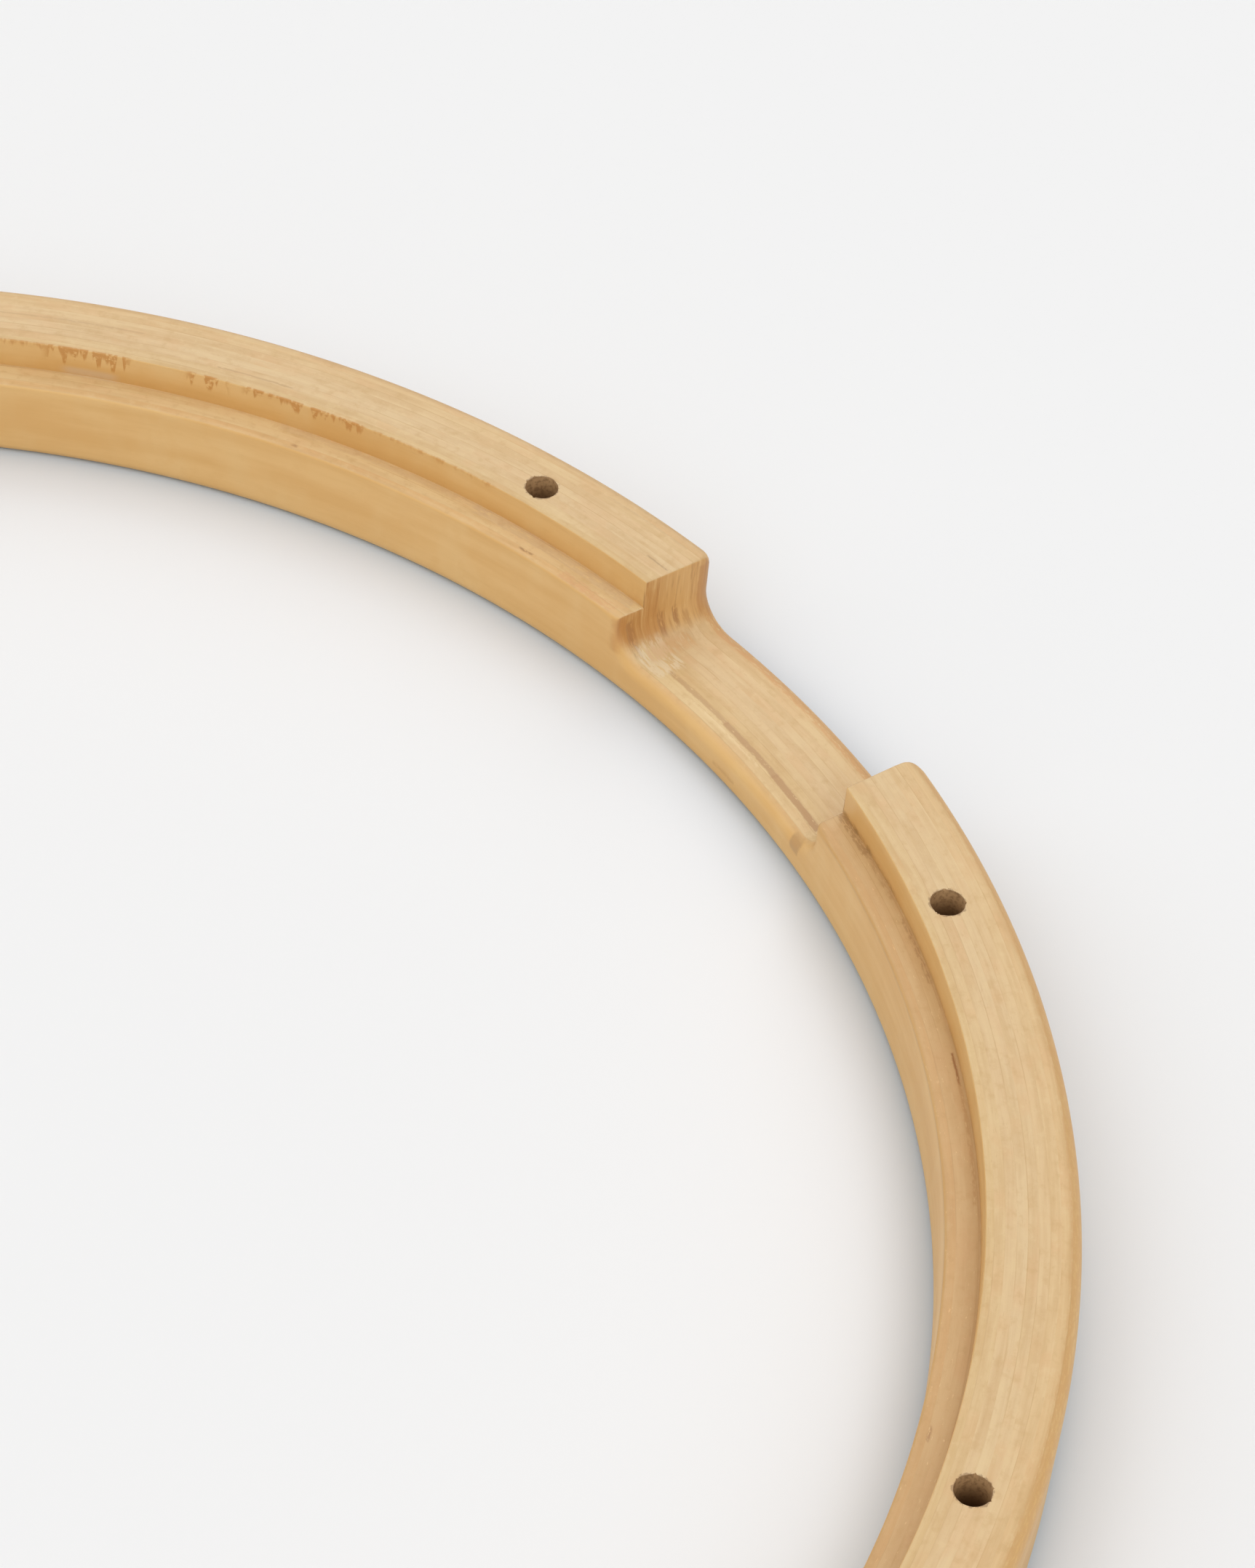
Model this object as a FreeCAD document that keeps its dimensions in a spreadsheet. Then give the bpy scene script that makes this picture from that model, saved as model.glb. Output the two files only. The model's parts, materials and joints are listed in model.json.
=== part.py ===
import FreeCAD, Part
import math
import os
import Sketcher

# A laminated wooden counterhoop for the snare side of a 14 inch snare drum.
# It lies on its flat face with the face that holds the drum head upwards.
# +Z is up, the origin is the centre of the lower face, and the two snare gates
# open on +X and -X.  Lengths are in millimetres and angles in degrees.

SIZES = {
    # the ring
    "outer_radius": 203.0,
    "ply_count": 12,
    "ply_thickness": 1.76,
    "hoop_height": 22.4,
    "seam_gap_angle": 0.04,
    "strip_overhang": 2.0,
    # the rabbet that seats the drum head's own hoop
    "rabbet_radius": 187.6,
    "rabbet_depth": 6.0,
    # the two snare gates
    "gate_width": 58.8,
    "gate_depth": 14.6,
    "gate_cove_radius": 6.0,
    # the tension rod holes
    "hole_count": 10,
    "hole_radius": 2.95,
    "hole_circle_radius": 193.05,
    "first_hole_angle": 18.0,
    # the edges
    "outer_edge_radius": 3.0,
    "inner_edge_radius": 2.0,
}

PLY_NAMES = {
    1: "ply_01_outer_face",
    9: "ply_09_rabbet_wall",
    10: "ply_10_head_ledge",
    11: "ply_11_head_ledge",
    12: "ply_12_inner_face",
}

# The joints of the plies are staggered: each is in another bay between two
# rod holes than its neighbours', and no bay with a gate holds one.
SEAM_BAYS = (108.0, 144.0, 216.0, 252.0)
SEAM_STEP = 9.0

TOLERANCE = 1e-3


def make_sheet(doc):
    """The driving dimensions, one to a row: its name, then its value under that alias."""
    sheet = doc.addObject("Spreadsheet::Sheet", "sizes")
    for row, (alias, value) in enumerate(SIZES.items(), start=1):
        sheet.set(f"A{row}", alias)
        sheet.set(f"B{row}", str(value))
        sheet.setAlias(f"B{row}", alias)
    inner = len(SIZES) + 1
    sheet.set(f"A{inner}", "inner_radius")
    sheet.set(f"B{inner}", "=outer_radius - ply_count * ply_thickness")
    sheet.setAlias(f"B{inner}", "inner_radius")
    doc.recompute()
    return sheet


def origin_plane(body, role):
    """One of the body's own origin planes or axes, found by its role."""
    return next(item for item in body.Origin.OriginFeatures if item.Role == role)


def new_sketch(body, name, role):
    sketch = body.newObject("Sketcher::SketchObject", name)
    sketch.AttachmentSupport = [(origin_plane(body, role), "")]
    sketch.MapMode = "FlatFace"
    return sketch


def bind(sketch, constraint, name, expression):
    """Add a dimension to the sketch and bind it to the sheet."""
    index = sketch.addConstraint(constraint)
    sketch.renameConstraint(index, name)
    sketch.setExpression(f"Constraints.{name}", expression)


def closed_rectangle(sketch, left, bottom, right, top):
    """Four joined lines, level and upright: 0 bottom, 1 right, 2 top, 3 left."""
    corners = [(left, bottom), (right, bottom), (right, top), (left, top)]
    points = [FreeCAD.Vector(x, y, 0) for x, y in corners]
    for start, end in zip(points, points[1:] + points[:1]):
        sketch.addGeometry(Part.LineSegment(start, end), False)
    for line in range(4):
        sketch.addConstraint(Sketcher.Constraint("Coincident", line, 2, (line + 1) % 4, 1))
    for line in (0, 2):
        sketch.addConstraint(Sketcher.Constraint("Horizontal", line))
    for line in (1, 3):
        sketch.addConstraint(Sketcher.Constraint("Vertical", line))


def radial_section(body, name, left, bottom, right, top):
    """A rectangle in the XZ plane.  Each side is a pair: its value and its expression."""
    sketch = new_sketch(body, name, "XZ_Plane")
    closed_rectangle(sketch, left[0], bottom[0], right[0], top[0])
    left_side = Sketcher.Constraint("DistanceX", -1, 1, 0, 1, left[0])
    bind(sketch, left_side, "left", left[1])
    right_side = Sketcher.Constraint("DistanceX", -1, 1, 0, 2, right[0])
    bind(sketch, right_side, "right", right[1])
    if bottom[1]:
        lower = Sketcher.Constraint("DistanceY", -1, 1, 0, 1, bottom[0])
        bind(sketch, lower, "bottom", bottom[1])
    else:
        sketch.addConstraint(Sketcher.Constraint("PointOnObject", 0, 1, -1))
    upper = Sketcher.Constraint("DistanceY", -1, 1, 2, 1, top[0])
    bind(sketch, upper, "top", top[1])
    return sketch


def make_blank(body, sheet):
    """The glued ring before any machining."""
    section = radial_section(
        body,
        "blank_section",
        (sheet.inner_radius, "sizes.inner_radius"),
        (0.0, None),
        (sheet.outer_radius, "sizes.outer_radius"),
        (sheet.hoop_height, "sizes.hoop_height"),
    )
    blank = body.newObject("PartDesign::Revolution", "blank")
    blank.Profile = section
    blank.ReferenceAxis = (section, ["V_Axis"])
    blank.Angle = 360.0


def cut_rabbet(body, sheet):
    """The step turned into the upper inner edge, where the head's hoop sits."""
    overhang = sheet.strip_overhang
    section = radial_section(
        body,
        "rabbet_section",
        (sheet.inner_radius - overhang, "sizes.inner_radius - sizes.strip_overhang"),
        (sheet.hoop_height - sheet.rabbet_depth, "sizes.hoop_height - sizes.rabbet_depth"),
        (sheet.rabbet_radius, "sizes.rabbet_radius"),
        (sheet.hoop_height + overhang, "sizes.hoop_height + sizes.strip_overhang"),
    )
    rabbet = body.newObject("PartDesign::Groove", "rabbet")
    rabbet.Profile = section
    rabbet.ReferenceAxis = (section, ["V_Axis"])
    rabbet.Angle = 360.0


def cut_gates(body, sheet):
    """One straight cut across the ring makes both snare gates, with parallel end walls."""
    half = sheet.gate_width / 2
    floor = sheet.hoop_height - sheet.gate_depth
    top = sheet.hoop_height + sheet.strip_overhang
    section = new_sketch(body, "gate_section", "YZ_Plane")
    closed_rectangle(section, -half, floor, half, top)
    centring = Sketcher.Constraint("DistanceX", 0, 1, -1, 1, half)
    bind(section, centring, "half_width", "sizes.gate_width / 2")
    width = Sketcher.Constraint("DistanceX", 0, 1, 0, 2, sheet.gate_width)
    bind(section, width, "width", "sizes.gate_width")
    level = Sketcher.Constraint("DistanceY", -1, 1, 0, 1, floor)
    bind(section, level, "floor", "sizes.hoop_height - sizes.gate_depth")
    upper = Sketcher.Constraint("DistanceY", -1, 1, 2, 1, top)
    bind(section, upper, "top", "sizes.hoop_height + sizes.strip_overhang")
    gates = body.newObject("PartDesign::Pocket", "gates")
    gates.Profile = section
    gates.SideType = "Symmetric"
    gates.Type = "Length"
    gates.setExpression("Length", "2 * (sizes.outer_radius + sizes.strip_overhang)")


def edges_where(feature, wanted):
    """Names of the feature's edges that the test keeps."""
    edges = enumerate(feature.Shape.Edges, start=1)
    return [f"Edge{number}" for number, edge in edges if wanted(edge)]


def near(value, target):
    return abs(value - target) < TOLERANCE


def fillet(body, name, wanted, radius_alias):
    """Round the edges of the body's present shape that the test keeps."""
    base = body.Tip
    names = edges_where(base, wanted)
    if not names:
        raise RuntimeError(f"{name}: no edge to round")
    rounded = body.newObject("PartDesign::Fillet", name)
    rounded.Base = (base, names)
    rounded.setExpression("Radius", f"sizes.{radius_alias}")


def radius_at(point):
    return math.hypot(point.x, point.y)


def on_cylinder(edge, radius):
    """Whether both ends and the middle of the edge are this far from the Z axis."""
    first, last = edge.ParameterRange
    stations = [edge.valueAt(first), edge.valueAt((first + last) / 2), edge.valueAt(last)]
    return all(near(radius_at(point), radius) for point in stations)


def edge_heights(edge):
    return edge.BoundBox.ZMin, edge.BoundBox.ZMax


def round_coves(body, sheet):
    """The concave corners where the gates' end walls meet their floors."""
    floor = sheet.hoop_height - sheet.gate_depth
    half = sheet.gate_width / 2

    def wanted(edge):
        low, high = edge_heights(edge)
        box = edge.BoundBox
        level = near(low, floor) and near(high, floor)
        return level and near(box.YMin, box.YMax) and near(abs(box.YMin), half)

    fillet(body, "gate_coves", wanted, "gate_cove_radius")


def round_outer_edges(body, sheet):
    """Every edge of the outer wall: top, bottom and round both gates."""

    def wanted(edge):
        return on_cylinder(edge, sheet.outer_radius) and edge.Length > 1.0 and not is_seam(edge, sheet)

    fillet(body, "outer_edges", wanted, "outer_edge_radius")


def is_seam(edge, sheet):
    """Whether the edge runs upright between the top and the bottom of the wall."""
    low, high = edge_heights(edge)
    return near(low, 0.0) and high > TOLERANCE


def round_inner_edges(body, sheet):
    """The lower edge of the inner wall and the gates' edges on it."""
    ledge = sheet.hoop_height - sheet.rabbet_depth

    def wanted(edge):
        low, high = edge_heights(edge)
        on_ledge = near(low, ledge) and near(high, ledge)
        return on_cylinder(edge, sheet.inner_radius) and not on_ledge and not is_seam(edge, sheet)

    fillet(body, "inner_edges", wanted, "inner_edge_radius")


def drill_holes(body, sheet):
    """Plain holes for the tension rods, evenly spaced, with a gate midway between two."""
    angle = math.radians(sheet.first_hole_angle)
    x = sheet.hole_circle_radius * math.cos(angle)
    y = sheet.hole_circle_radius * math.sin(angle)
    section = new_sketch(body, "hole_section", "XY_Plane")
    circle = Part.Circle(FreeCAD.Vector(x, y, 0), FreeCAD.Vector(0, 0, 1), sheet.hole_radius)
    section.addGeometry(circle, False)
    across = Sketcher.Constraint("DistanceX", -1, 1, 0, 3, x)
    bind(section, across, "across", "sizes.hole_circle_radius * cos(sizes.first_hole_angle * 1 deg)")
    along = Sketcher.Constraint("DistanceY", -1, 1, 0, 3, y)
    bind(section, along, "along", "sizes.hole_circle_radius * sin(sizes.first_hole_angle * 1 deg)")
    radius = Sketcher.Constraint("Radius", 0, sheet.hole_radius)
    bind(section, radius, "radius", "sizes.hole_radius")
    hole = body.newObject("PartDesign::Pocket", "rod_hole")
    hole.Profile = section
    hole.Type = "ThroughAll"
    hole.Reversed = True
    pattern = body.newObject("PartDesign::PolarPattern", "rod_holes")
    pattern.Originals = [hole]
    pattern.Axis = (section, ["N_Axis"])
    pattern.Angle = 360.0
    pattern.setExpression("Occurrences", "sizes.hole_count")
    body.Tip = pattern


def make_hoop_form(doc, sheet):
    """The machined hoop as one shape.  Each ply is the part of it inside that ply's strip."""
    body = doc.addObject("PartDesign::Body", "hoop_form")
    steps = (
        make_blank,
        cut_rabbet,
        cut_gates,
        round_coves,
        round_outer_edges,
        round_inner_edges,
        drill_holes,
    )
    volume = math.inf
    for step in steps:
        step(body, sheet)
        doc.recompute()
        shape = body.Tip.Shape
        if shape.isNull() or not shape.isValid():
            raise RuntimeError(f"{step.__name__}: broken shape")
        changed = abs(shape.Volume - volume) > 1.0
        if not changed:
            raise RuntimeError(f"{step.__name__}: nothing changed")
        volume = shape.Volume
        print(f"{step.__name__}: {volume / 1000:.2f} cm3")
    return body


def seam_angle(number):
    """Where the ends of this ply's strip meet."""
    bay = SEAM_BAYS[number % len(SEAM_BAYS)]
    group = (number - 1) // len(SEAM_BAYS)
    return bay + (group - 1) * SEAM_STEP


def make_ply(doc, form, number):
    """One veneer strip bent into a ring with a butt joint, machined with the hoop."""
    name = PLY_NAMES.get(number, f"ply_{number:02d}")
    outside = doc.addObject("Part::Cylinder", f"{name}_outside")
    inside = doc.addObject("Part::Cylinder", f"{name}_inside")
    turns = FreeCAD.Rotation(FreeCAD.Vector(0, 0, 1), seam_angle(number))
    for wall, plies_out in ((outside, number - 1), (inside, number)):
        wall.setExpression("Radius", f"sizes.outer_radius - {plies_out} * sizes.ply_thickness")
        wall.setExpression("Height", "sizes.hoop_height + 2 * sizes.strip_overhang")
        wall.setExpression("Placement.Base.z", "-sizes.strip_overhang")
        wall.Placement.Rotation = turns
    outside.setExpression("Angle", "360 - sizes.seam_gap_angle")
    strip = doc.addObject("Part::Cut", f"{name}_strip")
    strip.Base = outside
    strip.Tool = inside
    ply = doc.addObject("Part::Common", name)
    ply.Label = name
    ply.Base = form
    ply.Tool = strip
    return ply


def check(doc, plies):
    """Stop if any object failed or any ply is empty or broken."""
    for item in doc.Objects:
        if "Invalid" in item.State or "Error" in item.State:
            raise RuntimeError(f"{item.Name}: {item.State}")
    for ply in plies:
        if ply.Shape.isNull() or not ply.Shape.isValid() or not ply.Shape.Solids:
            raise RuntimeError(f"{ply.Label}: no valid solid")


def main():
    doc = FreeCAD.newDocument("counterhoop")
    sheet = make_sheet(doc)
    form = make_hoop_form(doc, sheet)
    plies = [make_ply(doc, form, number) for number in range(1, int(sheet.ply_count) + 1)]
    doc.recompute()
    check(doc, plies)
    os.makedirs("parts", exist_ok=True)
    for ply in plies:
        ply.Shape.exportStep(os.path.join("parts", f"{ply.Label}.step"))
        solids = len(ply.Shape.Solids)
        print(f"{ply.Label}: {solids} solids, {ply.Shape.Volume / 1000:.2f} cm3")
    total = sum(ply.Shape.Volume for ply in plies)
    print(f"all plies: {total / 1000:.2f} cm3 of {form.Shape.Volume / 1000:.2f} cm3")


main()
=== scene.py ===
"""Looks of a laminated maple counterhoop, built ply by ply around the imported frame.

Geometry is worked out in millimetres in the frame of the part (+Z up, gates on +X and -X)
and scaled to metres when a mesh is made.  Angles are in radians unless a name says degrees.
"""
import json
import math
import random

import bmesh
import bpy
import numpy as np
from mathutils import Matrix, Vector


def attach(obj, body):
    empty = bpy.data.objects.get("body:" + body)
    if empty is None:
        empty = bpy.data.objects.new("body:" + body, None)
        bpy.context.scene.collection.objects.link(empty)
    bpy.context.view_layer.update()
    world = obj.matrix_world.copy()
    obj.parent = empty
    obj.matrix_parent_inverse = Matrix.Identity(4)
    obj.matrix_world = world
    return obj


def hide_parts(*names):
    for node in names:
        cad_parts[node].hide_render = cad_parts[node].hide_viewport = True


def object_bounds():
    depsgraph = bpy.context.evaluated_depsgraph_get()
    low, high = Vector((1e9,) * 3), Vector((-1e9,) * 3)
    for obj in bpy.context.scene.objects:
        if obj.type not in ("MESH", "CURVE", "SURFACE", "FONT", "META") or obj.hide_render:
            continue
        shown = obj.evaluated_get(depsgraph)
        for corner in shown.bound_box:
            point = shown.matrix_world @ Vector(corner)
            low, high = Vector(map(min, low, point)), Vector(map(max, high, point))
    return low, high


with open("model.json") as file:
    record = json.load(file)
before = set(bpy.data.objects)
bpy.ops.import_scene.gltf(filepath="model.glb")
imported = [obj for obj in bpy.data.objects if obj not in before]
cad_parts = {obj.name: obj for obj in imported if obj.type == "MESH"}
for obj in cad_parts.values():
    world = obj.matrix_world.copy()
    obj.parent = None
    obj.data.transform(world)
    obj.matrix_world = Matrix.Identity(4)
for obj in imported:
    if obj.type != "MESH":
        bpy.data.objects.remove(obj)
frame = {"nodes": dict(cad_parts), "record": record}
cad_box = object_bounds()

# ---------------------------------------------------------------- sizes from the frame

MM = 0.001
MOUNTS = {mount["name"]: mount for mount in frame["record"]["mounts"]}
NODES = sorted(frame["nodes"])
PLY_COUNT = len(NODES)
HEIGHT = round(cad_box[1][2] / MM, 3)
OUTER = round((cad_box[1][0] - cad_box[0][0]) / 2 / MM, 2)
INNER = MOUNTS["shell_bore"]["dims"]["r_mm"]
PLY = (OUTER - INNER) / PLY_COUNT
LEDGE = MOUNTS["head_ledge"]["pos_m"][2] / MM
HOLE_COUNT = MOUNTS["tension_rods"]["dims"]["count"]
HOLE_RADIUS = MOUNTS["tension_rods"]["dims"]["hole_r_mm"]
HOLE_CIRCLE = MOUNTS["tension_rods"]["dims"]["pcd_mm"] / 2
HOLE_STEP = 2 * math.pi / HOLE_COUNT
FIRST_HOLE = HOLE_STEP / 2

# ---------------------------------------------------------------- sizes of this design

# The step for the head, the gates and the cove at each end of a gate.
RABBET = 187.6
GATE_HALF = 29.4
GATE_FLOOR = HEIGHT - 14.6
COVE = 6.0

# Radii of the rounded edges.
OUTER_ROUND = 3.0
BOTTOM_INNER_ROUND = 2.0
GATE_INNER_ROUND = 2.6
GATE_CORNER_ROUND = 1.3
GATE_CORNER_FADE = 5.0
LEDGE_ROUND = 0.6
RISER_ROUND = 0.25
CORNER_ROUND = 0.3
OUTER_CORNER_ROUND = 1.8
OUTER_CORNER_START = OUTER - 4.5

# Butt joints of the plies, in bays between the holes, in degrees.
SEAM_BAYS = (108.0, 144.0, 216.0, 252.0)
SEAM_STEP = 9.0
SEAM_GAP = math.radians(0.04)

# The mesh: rows beside a rounded edge, and columns round the ring.  Columns lie across the
# gates up to the first value of GATE_BLEND in Y, and point to the centre past the second.
SUPPORT = 0.3
ROUND_STEPS = 8
FLOOR_COLUMNS = 13
COVE_COLUMNS = 15
CORNER_COLUMNS = 4
RING_STEP = math.radians(0.3)
GATE_BLEND = (36.0, 52.0)
MID = (OUTER + RABBET) / 2
STEP_RISE = 0.05
FOOT_REACH = 3.4
FOOT_STEP = 0.15
TINY = 0.01


def seam_angle(number):
    """Where the two ends of this ply's strip meet."""
    bay = SEAM_BAYS[number % len(SEAM_BAYS)]
    group = (number - 1) // len(SEAM_BAYS)
    return math.radians(bay + (group - 1) * SEAM_STEP)


# ---------------------------------------------------------------- columns round the ring


def gate_columns():
    """Columns on one side of a gate, from its middle out to where the plain ring begins."""
    columns = [("floor", y) for y in np.linspace(0.0, GATE_HALF - COVE, FLOOR_COLUMNS)[:-1]]
    columns += [("cove", a) for a in np.linspace(0.0, math.pi / 2, COVE_COLUMNS)]
    columns += [("step", 0.0)]
    columns += [("corner", a) for a in np.linspace(0.0, math.pi / 2, CORNER_COLUMNS)]
    first = GATE_HALF + CORNER_ROUND
    columns += [("top", y) for y in np.arange(first + 0.5, GATE_BLEND[1] + 1.0, 1.0)]
    return columns


def ring_columns():
    """All columns in order of angle from 0 to a full turn: (half turns, side, kind, value)."""
    side = gate_columns()
    last = math.asin(side[-1][1] / MID)
    count = int(round((math.pi - 2 * last) / RING_STEP))
    plain = [("ring", a) for a in np.linspace(last, math.pi - last, count + 1)[1:-1]]
    half = [(1, kind, value) for kind, value in side]
    half += [(1, kind, value) for kind, value in plain]
    columns = []
    for turn in (0, 1):
        columns += [(turn, *column) for column in half]
        columns += [(turn + 1, -1, kind, value) for kind, value in reversed(side[1:])]
    return columns


def smooth(value, low, high):
    """0 below low, 1 above high and smooth between."""
    part = min(max((value - low) / (high - low), 0.0), 1.0)
    return part * part * (3 - 2 * part)


def corner_round(radius):
    """Rounding between a gate's end wall and the top: slight, and fuller at the outer wall."""
    part = smooth(radius, OUTER_CORNER_START, OUTER)
    return CORNER_ROUND + (OUTER_CORNER_ROUND - CORNER_ROUND) * part


def locate(column, radius, level, inset):
    """Angle and height of the upper surface at a column, set in by a rounded edge."""
    turn, side, kind, value = column
    corner = corner_round(radius)
    wall = GATE_HALF + inset
    height = level - inset
    if kind == "ring":
        return turn * math.pi + side * value, height
    if kind == "top":
        y = max(value, wall + corner)
        blend = smooth(value, *GATE_BLEND)
        angle = (1 - blend) * math.asin(y / radius) + blend * math.asin(value / MID)
        return turn * math.pi + side * angle, height
    if kind == "corner":
        y = wall + corner - corner * math.cos(value)
        height += corner * math.sin(value) - corner
    elif kind == "step":
        y = wall
        lowest = GATE_FLOOR + COVE + STEP_RISE
        height = max(min(LEDGE - CORNER_ROUND - inset, height - corner), lowest)
    elif kind == "cove":
        y = GATE_HALF - COVE + (COVE + inset) * math.sin(value)
        height = GATE_FLOOR + COVE - (COVE + inset) * math.cos(value)
    else:
        y = value
        height = GATE_FLOOR - inset
    return turn * math.pi + side * math.asin(y / radius), height


def rounding(depth, radius):
    """How far a rounded edge has dropped at this depth in from the wall."""
    if depth >= radius:
        return 0.0
    across = radius - max(depth, 0.0)
    return radius - math.sqrt(max(radius * radius - across * across, 0.0))


def inner_round(column):
    """The rounding of the inner wall's top: slight on the ledge, full on a gate's floor."""
    kind, value = column[2], column[3]
    if kind == "floor":
        return GATE_INNER_ROUND
    if kind == "cove":
        return GATE_CORNER_ROUND + (GATE_INNER_ROUND - GATE_CORNER_ROUND) * math.cos(value)
    if kind in ("step", "corner"):
        return GATE_CORNER_ROUND
    if kind == "ring":
        return LEDGE_ROUND
    fade = smooth(value, GATE_HALF, GATE_HALF + GATE_CORNER_FADE)
    return LEDGE_ROUND + (GATE_CORNER_ROUND - LEDGE_ROUND) * (1 - fade)


def riser_round(column):
    """The rounding of the step's upper edge, which a gate's floor doesn't have."""
    return 0.0 if column[2] in ("floor", "cove") else RISER_ROUND


# ---------------------------------------------------------------- one ply's section


def round_fractions():
    """Depths of the rows of a rounded edge, as parts of its radius, from the wall in."""
    return [1 - math.cos(t) for t in np.linspace(math.pi / 2, 0.0, ROUND_STEPS + 1)]


def is_outer_face(outside):
    return outside > OUTER - TINY


def is_inner_face(inside):
    return inside < INNER + TINY


def upper_rows(outside, inside, column):
    """Radius, level and inset of each row of the upper surface, from outside in."""
    rows = []
    radii = [outside, inside]
    level = HEIGHT if outside > RABBET + TINY else LEDGE
    if outside > OUTER - OUTER_ROUND:
        radii += [OUTER - OUTER_ROUND * f for f in round_fractions()]
        radii.append(OUTER - OUTER_ROUND - SUPPORT)
    if is_inner_face(inside):
        radii += [INNER + inner_round(column) * f for f in round_fractions()]
    radii = [min(max(radius, inside), outside) for radius in radii]
    if is_outer_face(outside):
        rows.append((OUTER, level, OUTER_ROUND + SUPPORT))
    for radius in sorted(radii, reverse=True):
        if radius < RABBET and level == HEIGHT:
            continue
        outer_drop = rounding(OUTER - radius, OUTER_ROUND)
        inset = max(outer_drop, rounding(radius - INNER, inner_round(column)))
        rows.append((radius, level, inset))
    if is_inner_face(inside):
        rows.append((INNER, level, inner_round(column) + SUPPORT))
    if inside < RABBET < outside:
        edge = riser_round(column)
        for fraction in round_fractions():
            radius = RABBET + edge * fraction
            rows.append((radius, HEIGHT, rounding(radius - RABBET, edge) if edge else 0.0))
        rows.append((RABBET, LEDGE, 0.0))
        rows.append((inside, LEDGE, 0.0))
    return rows


def lower_rows(outside, inside):
    """Radius and height of each row of the lower surface, from inside out."""
    radii = [inside, outside]
    if outside > OUTER - OUTER_ROUND:
        radii += [OUTER - OUTER_ROUND * f for f in round_fractions()]
        radii.append(OUTER - OUTER_ROUND - SUPPORT)
    if is_inner_face(inside):
        radii += [INNER + BOTTOM_INNER_ROUND * f for f in round_fractions()]
    radii = [min(max(radius, inside), outside) for radius in radii]
    rows = [(INNER, BOTTOM_INNER_ROUND + SUPPORT)] if is_inner_face(inside) else []
    for radius in sorted(radii):
        drop = rounding(OUTER - radius, OUTER_ROUND)
        rows.append((radius, max(drop, rounding(radius - INNER, BOTTOM_INNER_ROUND))))
    if is_outer_face(outside):
        rows.append((OUTER, OUTER_ROUND + SUPPORT))
    return rows


def foot_angle(column, radius):
    """Angle of a column at the underside, where no two columns share a place."""
    turn, side, kind, value = column
    if kind in ("ring", "floor"):
        return locate(column, radius, HEIGHT, 0.0)[0]
    if kind == "top":
        y = max(value, GATE_HALF + FOOT_REACH + 3 * FOOT_STEP)
        blend = smooth(value, *GATE_BLEND)
        angle = (1 - blend) * math.asin(y / radius) + blend * math.asin(value / MID)
        return turn * math.pi + side * angle
    part = value / (math.pi / 2)
    if kind == "cove":
        y = GATE_HALF - COVE + (COVE + FOOT_REACH) * part
    else:
        y = GATE_HALF + FOOT_REACH + FOOT_STEP * (1 + part)
    return turn * math.pi + side * math.asin(y / radius)


def section_points(column, outside, inside):
    """The closed section of one ply at one column: the underside, then the upper surface."""
    points = []
    for radius, height in lower_rows(outside, inside):
        angle = foot_angle(column, radius)
        points.append((radius * math.cos(angle), radius * math.sin(angle), height))
    for radius, level, inset in upper_rows(outside, inside, column):
        angle, height = locate(column, radius, level, inset)
        points.append((radius * math.cos(angle), radius * math.sin(angle), height))
    return points


def strip_columns(number):
    """The ring's columns cut at this ply's butt joint, in order along the strip."""
    seam = seam_angle(number)
    columns = ring_columns()
    angles = [locate(column, MID, HEIGHT, 0.0)[0] for column in columns]
    after = next(i for i, angle in enumerate(angles) if angle > seam + SEAM_GAP)
    start = (0, 1, "ring", seam + SEAM_GAP / 2)
    end = (0, 1, "ring", seam - SEAM_GAP / 2)
    before = next(i for i, angle in enumerate(angles) if angle > seam - SEAM_GAP)
    return [start] + columns[after:] + columns[:before] + [end]


def make_mesh(name, points, faces):
    mesh = bpy.data.meshes.new(name)
    mesh.from_pydata([tuple(c * MM for c in point) for point in points], [], faces)
    piece = bpy.data.objects.new(name, mesh)
    bpy.context.scene.collection.objects.link(piece)
    return piece


def tidy_mesh(piece, merge=0.002 * MM):
    """Join doubled points, point the normals outwards and shade smooth between sharp edges."""
    work = bmesh.new()
    work.from_mesh(piece.data)
    bmesh.ops.remove_doubles(work, verts=work.verts, dist=merge)
    bmesh.ops.dissolve_degenerate(work, edges=work.edges, dist=merge / 10)
    bmesh.ops.recalc_face_normals(work, faces=work.faces)
    work.to_mesh(piece.data)
    work.free()
    piece.data.shade_smooth()
    piece.data.set_sharp_from_angle(angle=math.radians(40))


def ply_mesh(number, name):
    """One bent strip, machined: a loop of sections from one end of the butt joint to the other."""
    outside = OUTER - (number - 1) * PLY
    inside = outside - PLY
    sections = [section_points(c, outside, inside) for c in strip_columns(number)]
    width = len(sections[0])
    points = [point for section in sections for point in section]
    faces = [tuple(range(width))]
    for i in range(len(sections) - 1):
        for j in range(width):
            k = (j + 1) % width
            faces.append((i * width + j, (i + 1) * width + j, (i + 1) * width + k, i * width + k))
    faces.append(tuple(reversed(range((len(sections) - 1) * width, len(sections) * width))))
    piece = make_mesh(name, points, faces)
    tidy_mesh(piece)
    return piece


# ---------------------------------------------------------------- the rod holes

HOLE_SIDES = 72
HOLE_MARGIN = 2.0
FRAY_DEPTHS = (0.0, 0.15, 0.4, 0.8)


def frayed_radius(noise, angle, depth):
    """Radius of a drilled hole: clean inside, with torn fibres at the rim."""
    torn = 0.0
    for place, width, size in noise:
        away = math.remainder(angle - place, 2 * math.pi) / width
        torn = max(torn, size * math.exp(-away * away))
    return HOLE_RADIUS + torn * math.exp(-depth / 0.35)


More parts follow.
